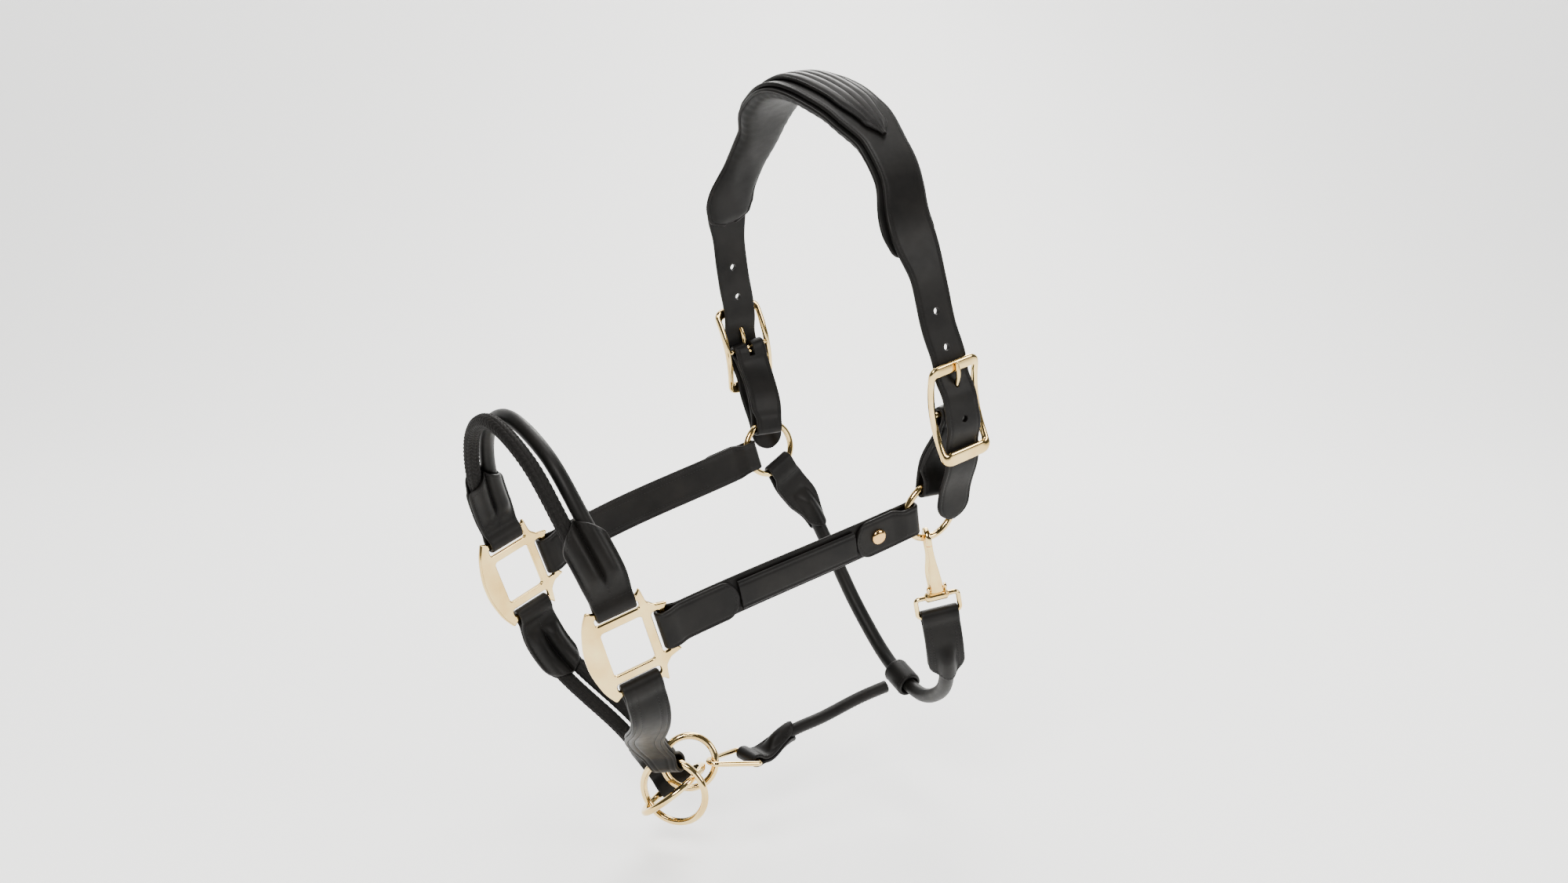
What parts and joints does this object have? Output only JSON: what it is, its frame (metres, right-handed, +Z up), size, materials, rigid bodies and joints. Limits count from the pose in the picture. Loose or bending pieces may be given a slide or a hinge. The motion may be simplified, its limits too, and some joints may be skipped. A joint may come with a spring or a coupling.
{
  "type": "headcollar",
  "caption": "Leather headcollar with padded crown, rolled and plaited noseband, square side plates, brass buckles and a clip-on throat strap.",
  "frame": {"origin": "underside of the crown's padding at the poll, where it rests on the head", "axes": "+Z up, -X towards the nose, -Y towards the near (left) side of the horse"},
  "size_m": [0.3173, 0.2612, 0.4904],
  "materials": {
    "black_leather": "satin, fine grain",
    "plaited_cord": "plaited black cord, matt",
    "polished_brass": "polished pale brass plate"
  },
  "bodies": {
    "harness": {"crown_strap": "black_leather", "crown_pad": "black_leather", "crown_overlay": "black_leather", "near_buckle_frame": "polished_brass", "far_buckle_frame": "polished_brass", "near_buckle_chape": "black_leather", "far_buckle_chape": "black_leather", "near_cheek_strap": "black_leather", "far_cheek_strap": "black_leather", "near_cheek_overlay": "black_leather", "far_cheek_overlay": "black_leather", "near_cheek_stud": "polished_brass", "far_cheek_stud": "polished_brass", "near_square_plate": "polished_brass", "far_square_plate": "polished_brass", "near_nose_tab": "black_leather", "far_nose_tab": "black_leather", "nose_rope": "plaited_cord", "nose_roll": "black_leather", "near_chin_strap": "black_leather", "far_chin_tab": "black_leather", "chin_rope_upper": "plaited_cord", "chin_rope_lower": "plaited_cord", "chin_rope_end_tab": "black_leather", "triangle_link": "polished_brass", "jowl_front_tab": "black_leather", "jowl_roll": "black_leather", "jowl_sleeve": "black_leather", "throat_far_tab": "black_leather", "throat_roll": "black_leather", "throat_snap_tab": "black_leather", "snap_eye": "polished_brass"},
    "near_tongue": {"near_buckle_tongue": "polished_brass"},
    "far_tongue": {"far_buckle_tongue": "polished_brass"},
    "near_ring": {"near_upper_ring": "polished_brass"},
    "far_ring": {"far_upper_ring": "polished_brass"},
    "chin_ring": {"near_chin_ring": "polished_brass"},
    "lead_ring_body": {"lead_ring": "polished_brass"},
    "jowl_ring_body": {"jowl_ring": "polished_brass"},
    "snap": {"snap_body": "polished_brass", "snap_gate_pin": "polished_brass"},
    "gate": {"snap_gate": "polished_brass"}
  },
  "joints": [
    {"name": "near_tongue_hinge", "type": "hinge", "parent": "harness", "child": "near_tongue", "pos_m": [0.024, -0.12, -0.182], "axis": [0.9781, 0, 0.2079], "range_deg": [0, 1]},
    {"name": "far_tongue_hinge", "type": "hinge", "parent": "harness", "child": "far_tongue", "pos_m": [0.024, 0.12, -0.182], "axis": [0.9781, 0, 0.2079], "range_deg": [-1, 0]},
    {"name": "near_upper_ring_turn", "type": "hinge", "parent": "harness", "child": "near_ring", "pos_m": [0.0265, -0.0955, -0.2535], "axis": [0, -0.9903, -0.1392], "continuous": true},
    {"name": "far_upper_ring_turn", "type": "hinge", "parent": "harness", "child": "far_ring", "pos_m": [0.0265, 0.0955, -0.2535], "axis": [0, 0.9903, -0.1392], "continuous": true},
    {"name": "near_chin_ring_turn", "type": "hinge", "parent": "harness", "child": "chin_ring", "pos_m": [-0.1123, -0.005, -0.4484], "axis": [-0.8015, -0.5965, -0.0421], "continuous": true},
    {"name": "lead_ring_turn", "type": "hinge", "parent": "harness", "child": "lead_ring_body", "pos_m": [-0.10708, 0.00523, -0.45219], "axis": [-0.4073, 0.4931, 0.7688], "continuous": true},
    {"name": "jowl_ring_turn", "type": "hinge", "parent": "harness", "child": "jowl_ring_body", "pos_m": [-0.09447, 0.00556, -0.43592], "axis": [-0.5285, -0.8138, 0.2419], "continuous": true},
    {"name": "snap_swing", "type": "hinge", "parent": "harness", "child": "snap", "pos_m": [0.03559, -0.09286, -0.31332], "axis": [0.8883, -0.4149, 0.1969], "range_deg": [0, 0.6]},
    {"name": "gate_press", "type": "hinge", "parent": "snap", "child": "gate", "pos_m": [0.03175, -0.09759, -0.30598], "axis": [0.8883, -0.4149, 0.1969], "range_deg": [0, 15], "stiffness_Nm_per_rad": 0.02, "springref_deg": -17.19}
  ]
}
